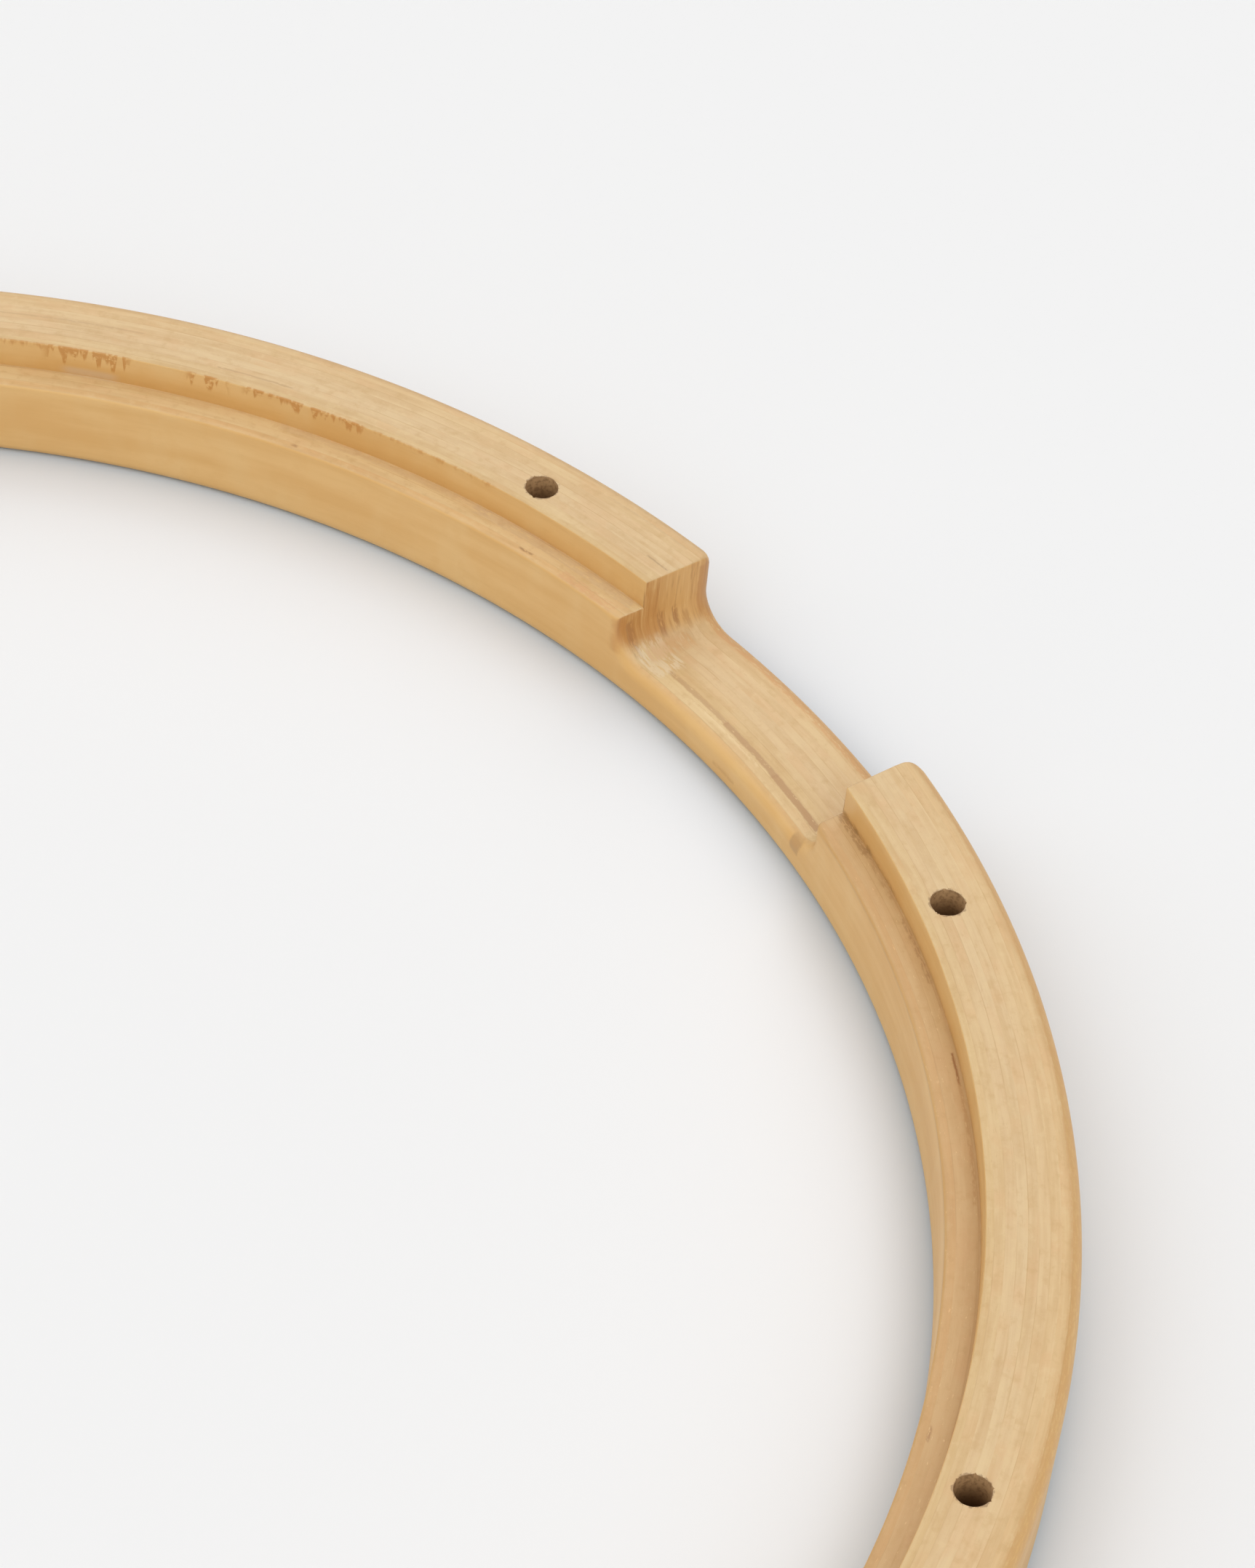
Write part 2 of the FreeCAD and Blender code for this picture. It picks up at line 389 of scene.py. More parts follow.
def hole_cutter(index, dice):
    """A closed cutter for one rod hole, wider where the fibres tore at each face."""
    angle = FIRST_HOLE + index * HOLE_STEP
    centre = (HOLE_CIRCLE * math.cos(angle), HOLE_CIRCLE * math.sin(angle))
    noise = [
        (dice.uniform(0, 2 * math.pi), dice.uniform(0.05, 0.12), dice.uniform(0.05, 0.42))
        for _ in range(9)
    ]
    heights = [-HOLE_MARGIN] + list(FRAY_DEPTHS)
    heights += [HEIGHT - depth for depth in reversed(FRAY_DEPTHS)] + [HEIGHT + HOLE_MARGIN]
    points = []
    for height in heights:
        depth = max(min(height, HEIGHT - height), 0.0)
        for side in range(HOLE_SIDES):
            turn = 2 * math.pi * side / HOLE_SIDES
            radius = frayed_radius(noise, turn, depth)
            x = centre[0] + radius * math.cos(turn)
            y = centre[1] + radius * math.sin(turn)
            points.append((x, y, height))
    faces = [tuple(reversed(range(HOLE_SIDES)))]
    for ring in range(len(heights) - 1):
        for side in range(HOLE_SIDES):
            after = (side + 1) % HOLE_SIDES
            low, high = ring * HOLE_SIDES, (ring + 1) * HOLE_SIDES
            faces.append((low + side, low + after, high + after, high + side))
    top = (len(heights) - 1) * HOLE_SIDES
    faces.append(tuple(range(top, top + HOLE_SIDES)))
    return points, faces


def all_holes_cutter():
    dice = random.Random(7)
    points, faces = [], []
    for index in range(HOLE_COUNT):
        more_points, more_faces = hole_cutter(index, dice)
        faces += [tuple(i + len(points) for i in face) for face in more_faces]
        points += more_points
    return make_mesh("holes_cutter", points, faces)


def drill(piece, cutter):
    cut = piece.modifiers.new("rod_holes", "BOOLEAN")
    cut.operation = "DIFFERENCE"
    cut.solver = "EXACT"
    cut.object = cutter
    bpy.context.view_layer.objects.active = piece
    bpy.ops.object.modifier_apply(modifier=cut.name)
    piece.data.shade_smooth()
    piece.data.set_sharp_from_angle(angle=math.radians(40))


def crosses_holes(number):
    outside = OUTER - (number - 1) * PLY
    reach = HOLE_RADIUS + 0.7
    return outside > HOLE_CIRCLE - reach and outside - PLY < HOLE_CIRCLE + reach


# ---------------------------------------------------------------- node building


class Shader:
    """A short way to write a material's nodes: each call adds one node and returns its output."""

    def __init__(self, name):
        self.material = bpy.data.materials.new(name)
        self.material.use_nodes = True
        self.tree = self.material.node_tree
        self.tree.nodes.clear()

    def node(self, kind, inputs=None, output=0, **settings):
        node = self.tree.nodes.new("ShaderNode" + kind)
        for key, value in settings.items():
            setattr(node, key, value)
        for key, value in (inputs or {}).items():
            if isinstance(value, bpy.types.NodeSocket):
                self.tree.links.new(value, node.inputs[key])
            else:
                node.inputs[key].default_value = value
        return node.outputs[output]

    def math(self, operation, *values, clamp=False):
        inputs = dict(enumerate(values))
        return self.node("Math", inputs, operation=operation, use_clamp=clamp)

    def step(self, value, low, high):
        """0 below low, 1 above high and smooth between."""
        inputs = {"Value": value, "From Min": low, "From Max": high}
        return self.node("MapRange", inputs, interpolation_type="SMOOTHSTEP")

    def band(self, value, low, high, soft):
        """1 between low and high, falling smoothly to 0 outside."""
        rise = self.step(value, low - soft, low + soft)
        fall = self.step(value, high - soft, high + soft)
        return self.math("SUBTRACT", rise, fall)

    def product(self, first, *others):
        for other in others:
            first = self.math("MULTIPLY", first, other)
        return first

    def vector(self, x, y, z):
        return self.node("CombineXYZ", {0: x, 1: y, 2: z})

    def noise(self, vector, detail=3.0, roughness=0.55):
        inputs = {"Vector": vector, "Scale": 1.0, "Detail": detail, "Roughness": roughness}
        return self.node("TexNoise", inputs)

    def mix(self, factor, first, second):
        inputs = {0: factor, 6: first, 7: second}
        return self.node("Mix", inputs, output=2, data_type="RGBA", clamp_factor=True)


def colour(red, green, blue):
    """A linear colour from the usual 0 to 255 screen values."""

    def linear(value):
        value /= 255
        return value / 12.92 if value <= 0.04045 else ((value + 0.055) / 1.055) ** 2.4

    return (linear(red), linear(green), linear(blue), 1.0)


# ---------------------------------------------------------------- maple

# One tone to a ply on its sawn edges, from the outer face in; the ledge's plies 10 and 11 are
# painted lighter to offset the shade that the step casts on the ledge.
PLY_TONES_WITH_LEDGE_LIGHT = (
    colour(220, 180, 124),
    colour(221, 184, 131),
    colour(222, 188, 137),
    colour(223, 190, 141),
    colour(222, 190, 142),
    colour(223, 192, 145),
    colour(221, 188, 140),
    colour(220, 187, 136),
    colour(218, 184, 130),
    colour(226, 195, 142),
    colour(227, 196, 144),
    colour(224, 184, 128),
)
PALE = colour(229, 200, 149)
TAN = colour(202, 161, 105)
BLUSH = colour(222, 176, 124)
FLECK = colour(188, 144, 92)
FACE_TONE = colour(230, 186, 119)
FACE_DEEP = colour(222, 174, 104)
FACE_PALE = colour(233, 197, 136)
FACE_PORE = colour(196, 146, 84)
END_TONES = (colour(200, 146, 82), colour(224, 178, 112))
END_DARK = colour(158, 98, 44)
# Rod holes: the rim, and the dark of their depths, partly burned wood and partly painted shade.
HOLE_RIM = colour(200, 162, 116)
HOLE_BURN_AND_SHADE = colour(124, 88, 54)
GLUE = colour(196, 154, 100)


class Places:
    """Where a point of the hoop is, as the values that the maple's layers are painted by."""

    def __init__(self, shader, seam, seed):
        coordinates = shader.tree.nodes.new("ShaderNodeTexCoord")
        here, normal = coordinates.outputs["Object"], coordinates.outputs["Normal"]
        turn = {"Vector": here, "Angle": math.pi - seam}
        turned = shader.node("VectorRotate", turn, rotation_type="Z_AXIS")
        x, y, z = self.parts(shader, here)
        strip_x, strip_y, _ = self.parts(shader, turned)
        across = shader.vector(x, y, 0.0)
        length = shader.node("VectorMath", {0: across}, "Value", operation="LENGTH")
        outward = shader.node("VectorMath", {0: across}, operation="NORMALIZE")
        both = {0: normal, 1: outward}
        facing = shader.node("VectorMath", both, "Value", operation="DOT_PRODUCT")
        self.seed = seed
        self.radius = shader.math("DIVIDE", length, MM)
        self.height = shader.math("DIVIDE", z, MM)
        self.degrees = shader.math("DEGREES", shader.math("ARCTAN2", y, x))
        self.y = shader.math("DIVIDE", y, MM)
        self.along = shader.math("MULTIPLY", shader.math("ARCTAN2", strip_y, strip_x), MID)
        self.side = shader.math("ABSOLUTE", facing)
        self.up = shader.math("ABSOLUTE", self.parts(shader, normal)[2])
        level = shader.math("MULTIPLY", self.up, self.up)
        total = shader.math("MULTIPLY_ADD", self.side, self.side, level)
        self.end = shader.math("SQRT", shader.math("SUBTRACT", 1.0, total, clamp=True))

    @staticmethod
    def parts(shader, vector):
        return [shader.node("SeparateXYZ", {0: vector}, axis) for axis in range(3)]

    def grain(self, shader, along, across, **options):
        """Noise stretched along the strip: features this many millimetres long and wide."""
        vector = shader.vector(
            shader.math("DIVIDE", self.along, along),
            shader.math("MULTIPLY_ADD", self.radius, 1 / across, self.seed),
            shader.math("DIVIDE", self.height, across),
        )
        return shader.noise(vector, **options)

    def speckle(self, shader, size, seed, **options):
        """Noise that is as long as it is wide."""
        vector = shader.vector(
            shader.math("DIVIDE", self.along, size),
            shader.math("MULTIPLY_ADD", self.radius, 1 / size, seed),
            shader.math("DIVIDE", self.height, size),
        )
        return shader.noise(vector, **options)

    def wobble(self, shader, value, size, amount, seed):
        """The value with an uneven edge: pushed to and fro by up to about this amount."""
        noise = self.speckle(shader, size, seed, detail=3.0, roughness=0.7)
        return shader.math("ADD", value, shader.math("MULTIPLY_ADD", noise, 2 * amount, -amount))


def sawn_edge(shader, place, number):
    """The upper and lower faces: the edge of the ply, streaked along the strip."""
    tone = PLY_TONES_WITH_LEDGE_LIGHT[number - 1]
    streaks = place.grain(shader, 26.0, 0.8, detail=4.0, roughness=0.6)
    clouds = place.grain(shader, 16.0, 2.4, detail=3.0)
    blotch = place.speckle(shader, 9.0, 60.0, detail=2.0)
    mottle = place.speckle(shader, 2.4, place.seed, detail=4.0, roughness=0.62)
    fleck = place.grain(shader, 1.8, 0.24, detail=2.0)
    paint = shader.mix(shader.product(shader.step(streaks, 0.44, 0.68), 0.34), tone, PALE)
    paint = shader.mix(shader.product(shader.step(streaks, 0.5, 0.32), 0.2), paint, TAN)
    paint = shader.mix(shader.product(shader.step(clouds, 0.44, 0.68), 0.36), paint, TAN)
    paint = shader.mix(shader.product(shader.step(clouds, 0.46, 0.28), 0.3), paint, PALE)
    paint = shader.mix(shader.product(shader.step(blotch, 0.5, 0.7), 0.3), paint, BLUSH)
    paint = shader.mix(shader.product(shader.step(mottle, 0.5, 0.72), 0.38), paint, TAN)
    paint = shader.mix(shader.product(shader.step(mottle, 0.46, 0.3), 0.34), paint, PALE)
    return shader.mix(shader.product(shader.step(fleck, 0.64, 0.74), 0.2), paint, FLECK)


def glue_lines(shader, place, number, paint):
    """A thin broken line where this ply was glued to the one inside it."""
    if number == PLY_COUNT:
        return paint
    joint = OUTER - number * PLY
    centre = place.wobble(shader, place.radius, 6.0, 0.12, 3.0)
    line = shader.step(centre, joint + 0.22, joint + 0.04)
    patches = place.grain(shader, 30.0, 3.0, detail=2.0)
    shown = shader.step(patches, 0.46, 0.62)
    seen = shader.product(line, shown, shader.step(place.up, 0.5, 0.9), 0.5)
    return shader.mix(seen, paint, GLUE)


def face_grain(shader, place):
    """The broad faces of a ply: warm, calm, with long faint figure."""
    figure = place.grain(shader, 45.0, 5.0, detail=3.0)
    cross = place.grain(shader, 9.0, 18.0, detail=2.0)
    mottle = place.speckle(shader, 3.5, place.seed + 4, detail=3.0)
    pores = place.grain(shader, 5.0, 0.3, detail=2.0)
    paint = shader.mix(shader.step(figure, 0.34, 0.68), FACE_TONE, FACE_DEEP)
    paint = shader.mix(shader.product(shader.step(cross, 0.45, 0.75), 0.3), paint, FACE_PALE)
    paint = shader.mix(shader.product(shader.step(mottle, 0.52, 0.7), 0.22), paint, FACE_DEEP)
    return shader.mix(shader.product(shader.step(pores, 0.62, 0.75), 0.16), paint, FACE_PORE)


def end_grain(shader, place, number):
    """Cut across the strip: darker, in upright streaks, palest in the middle plies."""
    middle = 1 - abs(number - 4.5) / 5
    part = max(middle, 0.0)
    tone = [dark + (pale - dark) * part for dark, pale in zip(*END_TONES)]
    vector = shader.vector(
        shader.math("DIVIDE", place.radius, 0.6),
        shader.math("DIVIDE", place.height, 9.0),
        shader.math("DIVIDE", place.along, 9.0),
    )
    streak = shader.noise(vector, detail=3.0, roughness=0.6)
    paint = shader.mix(shader.product(shader.step(streak, 0.5, 0.3), 0.42), tone, FACE_PALE)
    return shader.mix(shader.product(shader.step(streak, 0.52, 0.7), 0.36), paint, END_DARK)


def rod_holes(shader, place, paint):
    """Bare wood down the rod holes, darker with depth as burned wood and painted shade, and
    crushed fibres round their rims.
    """
    step_degrees = math.degrees(HOLE_STEP)
    folded = shader.math("WRAP", place.degrees, step_degrees, 0.0)
    offset = shader.math("RADIANS", shader.math("SUBTRACT", folded, step_degrees / 2))
    near = shader.math("MULTIPLY_ADD", place.radius, shader.math("COSINE", offset), -HOLE_CIRCLE)
    aside = shader.math("MULTIPLY", place.radius, shader.math("SINE", offset))
    across = shader.vector(near, aside, 0.0)
    away = shader.node("VectorMath", {0: across}, "Value", operation="LENGTH")
    wall = shader.product(
        shader.step(away, HOLE_RADIUS + 0.7, HOLE_RADIUS + 0.3),
        shader.step(place.up, 0.85, 0.5),
    )
    # Darker with depth down the hole: partly burned wood, partly painted shade.
    burn_and_shade_depth = shader.step(place.height, HEIGHT - 0.8, HEIGHT - 8.0)
    scratches = place.speckle(shader, 0.7, 9.0, detail=3.0)
    inside = shader.mix(burn_and_shade_depth, HOLE_RIM, HOLE_BURN_AND_SHADE)
    inside = shader.mix(shader.product(shader.step(scratches, 0.45, 0.65), 0.5), inside, HOLE_BURN_AND_SHADE)
    rough = place.wobble(shader, away, 1.3, 0.9, 5.0)
    rim = shader.product(shader.step(rough, HOLE_RADIUS + 0.3, HOLE_RADIUS + 0.05), 0.55)
    return shader.mix(wall, shader.mix(rim, paint, HOLE_BURN_AND_SHADE), inside)


# ---------------------------------------------------------------- marks of use and machining, and painted shade

# A mark lies between two angles in degrees, two radii and two heights in mm.  It has a
# colour, a strength and how much of it the wood's noise eats away.
STAINS_AND_PAINTED_SHADE = (
    # painted shade on the ledge right of the gate, where the step's shadow falls
    ((-75.0, -9.0), (181.0, 187.7), (15.6, 17.0), colour(184, 138, 84), 0.42, 0.0),
    # the glue line bared along the front gate's floor, wider towards its right end
    ((-7.6, -3.0), (185.7, 187.1), (0, 10), colour(186, 142, 94), 0.85, 0.0),
    ((-3.2, 1.6), (185.9, 187.15), (0, 10), colour(186, 143, 96), 0.8, 0.1),
    ((1.4, 6.4), (186.2, 187.2), (0, 10), colour(190, 148, 100), 0.7, 0.25),
    ((-2.0, 4.0), (184.9, 185.6), (0, 10), colour(236, 208, 160), 0.5, 0.5),
    # the spot where lacquer ran over the gate's inner edge
    ((-8.0, -7.1), (181.0, 183.4), (4.6, 7.4), colour(182, 138, 88), 0.62, 0.0),
    # torn fibres at the step's foot beside the gate, darkened further as painted shade from the
    # step
    ((-12.2, -8.0), (186.2, 187.7), (14.0, 17.2), colour(168, 126, 76), 0.6, 0.5),
    ((-15.5, -12.0), (186.5, 187.7), (16.0, 17.4), colour(182, 140, 90), 0.5, 0.6),
    ((-21.5, -17.0), (186.6, 187.4), (16.0, 17.0), colour(170, 126, 80), 0.5, 0.6),
    # a check along the step's foot, and its faint trail
    ((-28.3, -26.2), (186.65, 187.05), (16.0, 17.6), colour(148, 88, 38), 0.8, 0.2),
    ((-36.0, -28.0), (186.5, 187.1), (16.0, 17.0), colour(186, 138, 82), 0.5, 0.45),
    ((-50.7, -49.8), (183.7, 184.1), (16.0, 17.0), colour(158, 108, 62), 0.6, 0.2),
    # painted shade on the ledge along the step's foot left of the gate
    ((9.6, 21.0), (185.2, 187.5), (16.0, 16.8), colour(192, 160, 136), 0.25, 0.35),
    ((20.0, 33.5), (185.9, 187.5), (16.0, 16.7), colour(198, 162, 126), 0.26, 0.4),
    # checks on the ledge
    ((16.1, 17.1), (183.1, 183.5), (16.0, 17.0), colour(150, 104, 62), 0.7, 0.2),
    ((31.9, 32.3), (182.8, 183.4), (16.0, 17.0), colour(160, 112, 70), 0.55, 0.2),
    ((10.0, 14.0), (182.2, 184.2), (16.0, 17.0), colour(216, 160, 112), 0.42, 0.5),
    # scratches on the upper face
    ((9.0, 10.5), (192.7, 192.95), (22.0, 23.0), colour(150, 108, 66), 0.6, 0.2),
    ((33.4, 37.8), (190.85, 191.15), (22.0, 23.0), colour(184, 146, 98), 0.6, 0.2),
    ((42.5, 51.0), (195.1, 195.45), (22.0, 23.0), colour(196, 158, 112), 0.55, 0.3),
    ((9.5, 15.0), (199.2, 199.5), (22.0, 23.0), colour(196, 158, 112), 0.45, 0.3),
    # orange lacquer gathered along the outer edge
    ((-9.0, 9.0), (200.0, 203.5), (0.0, 10.0), colour(208, 146, 82), 0.5, 0.35),
    ((-70.0, -8.0), (200.9, 203.5), (19.0, 23.0), colour(212, 160, 102), 0.4, 0.45),
    ((8.0, 60.0), (201.2, 203.5), (19.0, 23.0), colour(206, 160, 104), 0.45, 0.45),
    # a lacquer run down the inner wall
    ((-1.4, 0.6), (181.0, 183.0), (3.2, 3.7), colour(190, 138, 72), 0.6, 0.2),
)

# The routed cove left of the front gate: between two Y in mm, two radii and two heights.
BURNS = (
    ((26.0, 32.6), (184.0, 185.4), (7.4, 14.4), colour(160, 106, 60), 0.5, 0.35),
    ((27.5, 32.5), (190.6, 191.9), (8.0, 13.6), colour(158, 102, 56), 0.5, 0.35),
    ((28.0, 31.5), (193.9, 195.0), (9.5, 13.8), colour(156, 100, 54), 0.55, 0.35),
    ((27.2, 30.5), (195.8, 197.2), (8.0, 12.0), colour(180, 128, 72), 0.45, 0.4),
    ((28.8, 30.4), (181.6, 184.0), (8.5, 15.6), colour(196, 134, 68), 0.5, 0.0),
    ((27.0, 33.0), (187.6, 190.6), (8.5, 20.0), colour(196, 136, 70), 0.3, 0.0),
    ((28.0, 33.0), (199.2, 203.2), (9.0, 21.0), colour(188, 128, 70), 0.4, 0.0),
    ((20.5, 27.6), (184.2, 190.4), (7.0, 10.4), colour(238, 218, 182), 0.6, 0.45),
    ((24.0, 28.6), (186.0, 195.4), (7.6, 9.0), colour(214, 158, 96), 0.45, 0.4),
)

# Fibres torn from the step's upper edge and stained by the lacquer: between two angles, down
# to a height, with a strength.
TEARS = (
    ((42.6, 47.4), 18.2, 0.75),
    ((36.9, 39.2), 19.0, 0.8),
    ((28.5, 35.8), 19.8, 0.8),
    ((47.5, 51.5), 20.6, 0.6),
    ((20.0, 28.0), 21.2, 0.5),
)
TORN_PLY = 9
TEAR = colour(198, 134, 58)
DUST = colour(220, 192, 156)
DUST_DEGREES = (43.4, 46.4)
DUST_HEIGHTS = (16.4, 18.0)

# How softly a mark ends: in degrees or Y, in radius and in height.
STAIN_AND_SHADE_SOFT = 0.12
BURN_SOFT = 0.9
RADIUS_SOFT = 0.2
HEIGHT_SOFT = 0.5
MARK_REACH = 0.3


def add_marks_and_painted_shade(shader, place, number, paint):
    """The marks that reach this ply, painted shade among them."""
    outside = OUTER - (number - 1) * PLY
    degrees = place.wobble(shader, place.degrees, 2.2, 0.22, 11.0)
    radius = place.wobble(shader, place.radius, 2.6, 0.3, 23.0)
    height = place.wobble(shader, place.height, 2.4, 0.35, 37.0)
    y = place.wobble(shader, place.y, 1.8, 0.8, 41.0)
    eaten = place.grain(shader, 1.6, 0.45, detail=3.0, roughness=0.65)
    upright = shader.vector(
        shader.math("MULTIPLY", place.radius, 1.8),
        shader.math("MULTIPLY", place.y, 0.35),
        shader.math("MULTIPLY", place.height, 0.35),
    )
    streaked = shader.noise(upright, detail=3.0, roughness=0.65)
    groups = ((STAINS_AND_PAINTED_SHADE, degrees, STAIN_AND_SHADE_SOFT, eaten), (BURNS, y, BURN_SOFT, streaked))
    for marks, first, soft, gaps in groups:
        for limits, radii, heights, tint, strength, ragged in marks:
            if radii[0] > outside + MARK_REACH or radii[1] < outside - PLY - MARK_REACH:
                continue
            where = shader.product(
                shader.band(first, *limits, soft),
                shader.band(radius, *radii, RADIUS_SOFT),
                shader.band(height, *heights, HEIGHT_SOFT),
            )
            kept = shader.step(gaps, 0.28 + 0.26 * ragged, 0.36 + 0.34 * ragged)
            seen = shader.product(where, kept, strength)
            paint = shader.mix(seen, paint, tint)
    return paint


def add_tears(shader, place, paint):
    """Drips of stain below the step's torn upper edge, and dust at its foot."""
    along = shader.vector(shader.math("DIVIDE", place.along, 2.2), 0.0, 0.0)
    drips = shader.noise(along, detail=2.0, roughness=0.55)
    fine = place.speckle(shader, 0.8, 2.0, detail=3.0)
    wall = shader.step(place.radius, RABBET + 0.5, RABBET + 0.2)
    for limits, lowest, strength in TEARS:
        reach = shader.math("MULTIPLY", shader.step(drips, 0.4, 0.62), HEIGHT - lowest)
        depth = shader.math("SUBTRACT", HEIGHT, place.height)
        drip = shader.step(shader.math("SUBTRACT", depth, reach), 0.25, -0.9)
        where = shader.product(shader.band(place.degrees, *limits, 0.35), drip, wall)
        above_ledge = shader.step(place.height, LEDGE + 0.2, LEDGE + 0.8)
        seen = shader.product(where, shader.step(fine, 0.32, 0.5), above_ledge, strength)
        paint = shader.mix(seen, paint, TEAR)
    foot = shader.product(
        shader.band(place.degrees, *DUST_DEGREES, 0.5),
        shader.band(place.height, *DUST_HEIGHTS, 0.6),
    )
    return shader.mix(shader.product(foot, wall, 0.6), paint, DUST)


def maple(number, name):
    """The lacquered maple of one ply."""
    shader = Shader(name)
    place = Places(shader, seam_angle(number), number * 17.3)
    edge = glue_lines(shader, place, number, sawn_edge(shader, place, number))
    face = face_grain(shader, place)
    end = end_grain(shader, place, number)
    paint = shader.mix(shader.step(place.side, 0.35, 0.85), edge, face)
    paint = shader.mix(shader.step(place.end, 0.5, 0.9), paint, end)
    paint = add_marks_and_painted_shade(shader, place, number, paint)
    if number == TORN_PLY:
        paint = add_tears(shader, place, paint)
    if crosses_holes(number):
        paint = rod_holes(shader, place, paint)
    fine = place.grain(shader, 9.0, 0.18, detail=3.0)
    uneven = place.speckle(shader, 5.0, 1.0, detail=2.0)
    relief = shader.math("MULTIPLY_ADD", uneven, 2.0, fine)
    bump = shader.node("Bump", {"Strength": 0.3, "Distance": 0.00008, "Height": relief})
    surface = shader.tree.nodes.new("ShaderNodeBsdfPrincipled")
    shader.tree.links.new(paint, surface.inputs["Base Color"])
    rough = shader.node("MapRange", {"Value": fine, "To Min": 0.4, "To Max": 0.6})
    shader.tree.links.new(rough, surface.inputs["Roughness"])
    shader.tree.links.new(bump, surface.inputs["Normal"])
    surface.inputs["Coat Weight"].default_value = 0.08
    surface.inputs["Coat Roughness"].default_value = 0.3
    output = shader.tree.nodes.new("ShaderNodeOutputMaterial")
    shader.tree.links.new(surface.outputs[0], output.inputs[0])
    return shader.material


# ---------------------------------------------------------------- the pieces


def build_plies():
    cutter = all_holes_cutter()
    for number, node in enumerate(NODES, start=1):
        name = node.replace("ply_", "veneer_")
        piece = ply_mesh(number, name)
        if crosses_holes(number):
            drill(piece, cutter)
        piece.data.materials.append(maple(number, f"maple_{number:02d}"))
        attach(piece, "root")
        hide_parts(node)
    bpy.data.objects.remove(cutter)


# ---------------------------------------------------------------- stage, camera and light

CAMERA_TARGET = Vector((0.1538, -0.0097, HEIGHT * MM))
CAMERA_DISTANCE = 0.7875
CAMERA_AZIMUTH = math.radians(-129.22)
CAMERA_ELEVATION = math.radians(45.0)
CAMERA_ROLL = math.radians(5.94)
CAMERA_LENS = 107.4
FLOOR_SIZE = 24.0
FLOOR_TONE = (0.9, 0.9, 0.9, 1.0)
# Painted shade on the floor close to the ring: a faint cool tint, and a darker painted contact
# shadow right beside the ring.
FLOOR_PAINTED_COOL_SHADE = (0.9, 0.905, 0.915, 1.0)
FLOOR_PAINTED_SHADOW = (0.62, 0.69, 0.76, 1.0)
PAINTED_COOL_SHADE_REACH = 22.0
PAINTED_SHADOW_REACH = 6.0
WORLD_STRENGTH = 0.213

# Soft suns: name, azimuth, elevation and spread in degrees, and strength.
SUNS = (
    ("top", -60.0, 80.0, 50.0, 0.5),
    ("key", -45.0, 42.0, 50.0, 0.16),
    ("left_fill", 140.0, 38.0, 60.0, 0.78),
    ("front_fill", -140.0, 40.0, 60.0, 0.7),
    ("low_fill", -90.0, 42.0, 50.0, 0.57),
    ("rim", 50.0, 42.0, 50.0, 0.82),
)


def direction(azimuth, elevation):
    """The unit vector that points to this azimuth and elevation."""
    level = math.cos(elevation)
    return Vector((level * math.cos(azimuth), level * math.sin(azimuth), math.sin(elevation)))


def make_camera():
    back = direction(CAMERA_AZIMUTH, CAMERA_ELEVATION)
    right = Vector((0, 0, 1)).cross(back).normalized()
    up = back.cross(right)
    turned_right = right * math.cos(CAMERA_ROLL) + up * math.sin(CAMERA_ROLL)
    turned_up = up * math.cos(CAMERA_ROLL) - right * math.sin(CAMERA_ROLL)
    data = bpy.data.cameras.new("camera")
    data.lens = CAMERA_LENS
    data.sensor_width = 36.0
    data.sensor_fit = "AUTO"
    data.clip_start = 0.01
    camera = bpy.data.objects.new("camera", data)
    camera.matrix_world = Matrix.Translation(CAMERA_TARGET + back * CAMERA_DISTANCE) @ Matrix(
        (turned_right, turned_up, back)
    ).transposed().to_4x4()
    bpy.context.scene.collection.objects.link(camera)
    bpy.context.scene.camera = camera


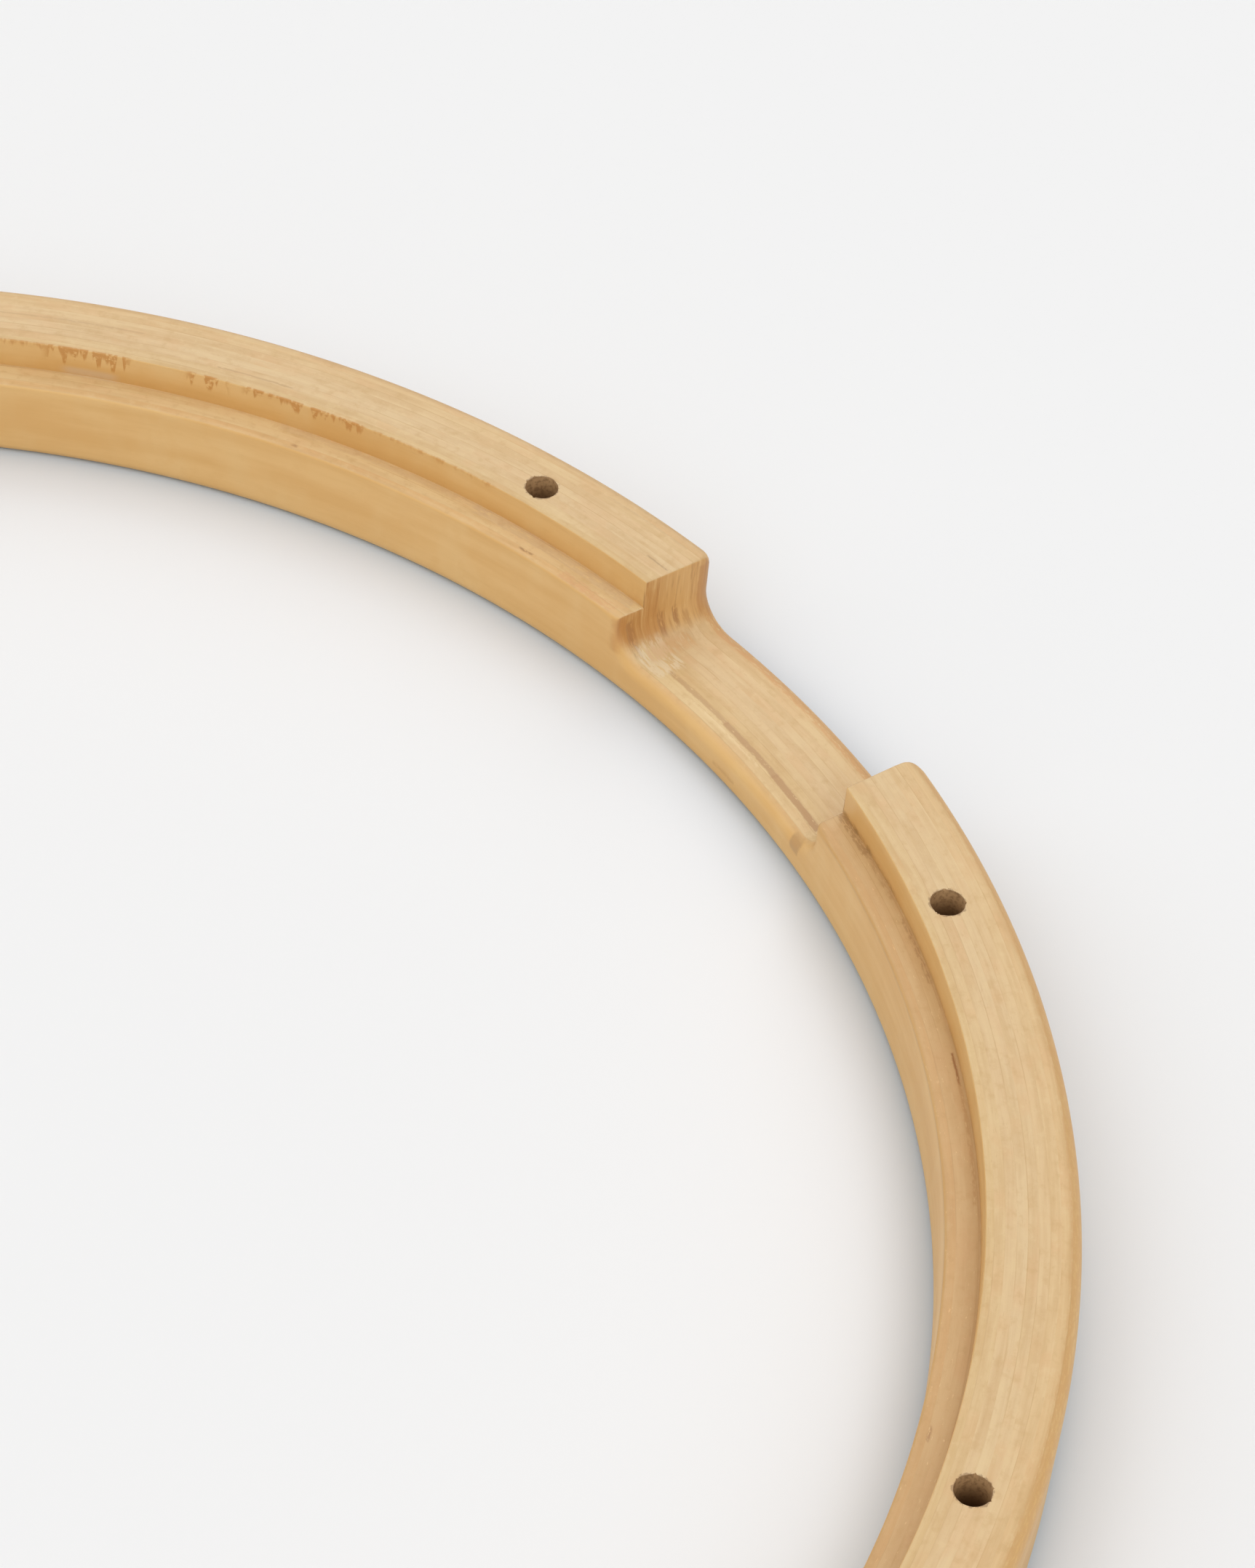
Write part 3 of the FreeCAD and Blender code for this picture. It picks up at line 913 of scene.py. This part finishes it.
def make_floor():
    """A pale floor with a painted shadow close to the ring: a faint cool tint further out and a
    darker grey right beside it.
    """
    half = FLOOR_SIZE / 2 / MM
    corners = [(-half, -half, 0), (half, -half, 0), (half, half, 0), (-half, half, 0)]
    floor = make_mesh("floor", corners, [(0, 1, 2, 3)])
    shader = Shader("pale_floor")
    coordinates = shader.tree.nodes.new("ShaderNodeTexCoord")
    here = {0: coordinates.outputs["Object"]}
    length = shader.node("VectorMath", here, "Value", operation="LENGTH")
    radius = shader.math("DIVIDE", length, MM)
    inside = shader.math("SUBTRACT", INNER, radius)
    outside = shader.math("SUBTRACT", radius, OUTER)
    away = shader.math("MAXIMUM", shader.math("MAXIMUM", inside, outside), 0.0)
    near = shader.math("EXPONENT", shader.math("DIVIDE", away, -PAINTED_SHADOW_REACH))
    wide = shader.math("EXPONENT", shader.math("DIVIDE", away, -PAINTED_COOL_SHADE_REACH))
    # Painted shade: a cool tint and a darker grey that fade with distance from the ring.
    paint = shader.mix(wide, FLOOR_TONE, FLOOR_PAINTED_COOL_SHADE)
    paint = shader.mix(near, paint, FLOOR_PAINTED_SHADOW)
    surface = shader.tree.nodes.new("ShaderNodeBsdfPrincipled")
    shader.tree.links.new(paint, surface.inputs["Base Color"])
    surface.inputs["Roughness"].default_value = 0.9
    surface.inputs["Specular IOR Level"].default_value = 0.0
    output = shader.tree.nodes.new("ShaderNodeOutputMaterial")
    shader.tree.links.new(surface.outputs[0], output.inputs[0])
    floor.data.materials.append(shader.material)


def make_sun(name, azimuth, elevation, spread, strength):
    data = bpy.data.lights.new(name, "SUN")
    data.angle = math.radians(spread)
    data.energy = strength
    light = bpy.data.objects.new(name, data)
    towards = direction(math.radians(azimuth), math.radians(elevation))
    light.rotation_euler = towards.to_track_quat("Z", "Y").to_euler()
    bpy.context.scene.collection.objects.link(light)


def make_lights():
    for sun in SUNS:
        make_sun(*sun)
    world = bpy.data.worlds.new("studio")
    world.use_nodes = True
    background = world.node_tree.nodes["Background"]
    background.inputs["Color"].default_value = (1.0, 1.0, 1.0, 1.0)
    background.inputs["Strength"].default_value = WORLD_STRENGTH
    bpy.context.scene.world = world
    bpy.context.scene.view_settings.view_transform = "Standard"


make_camera()
make_floor()
make_lights()
build_plies()

bpy.context.view_layer.update()
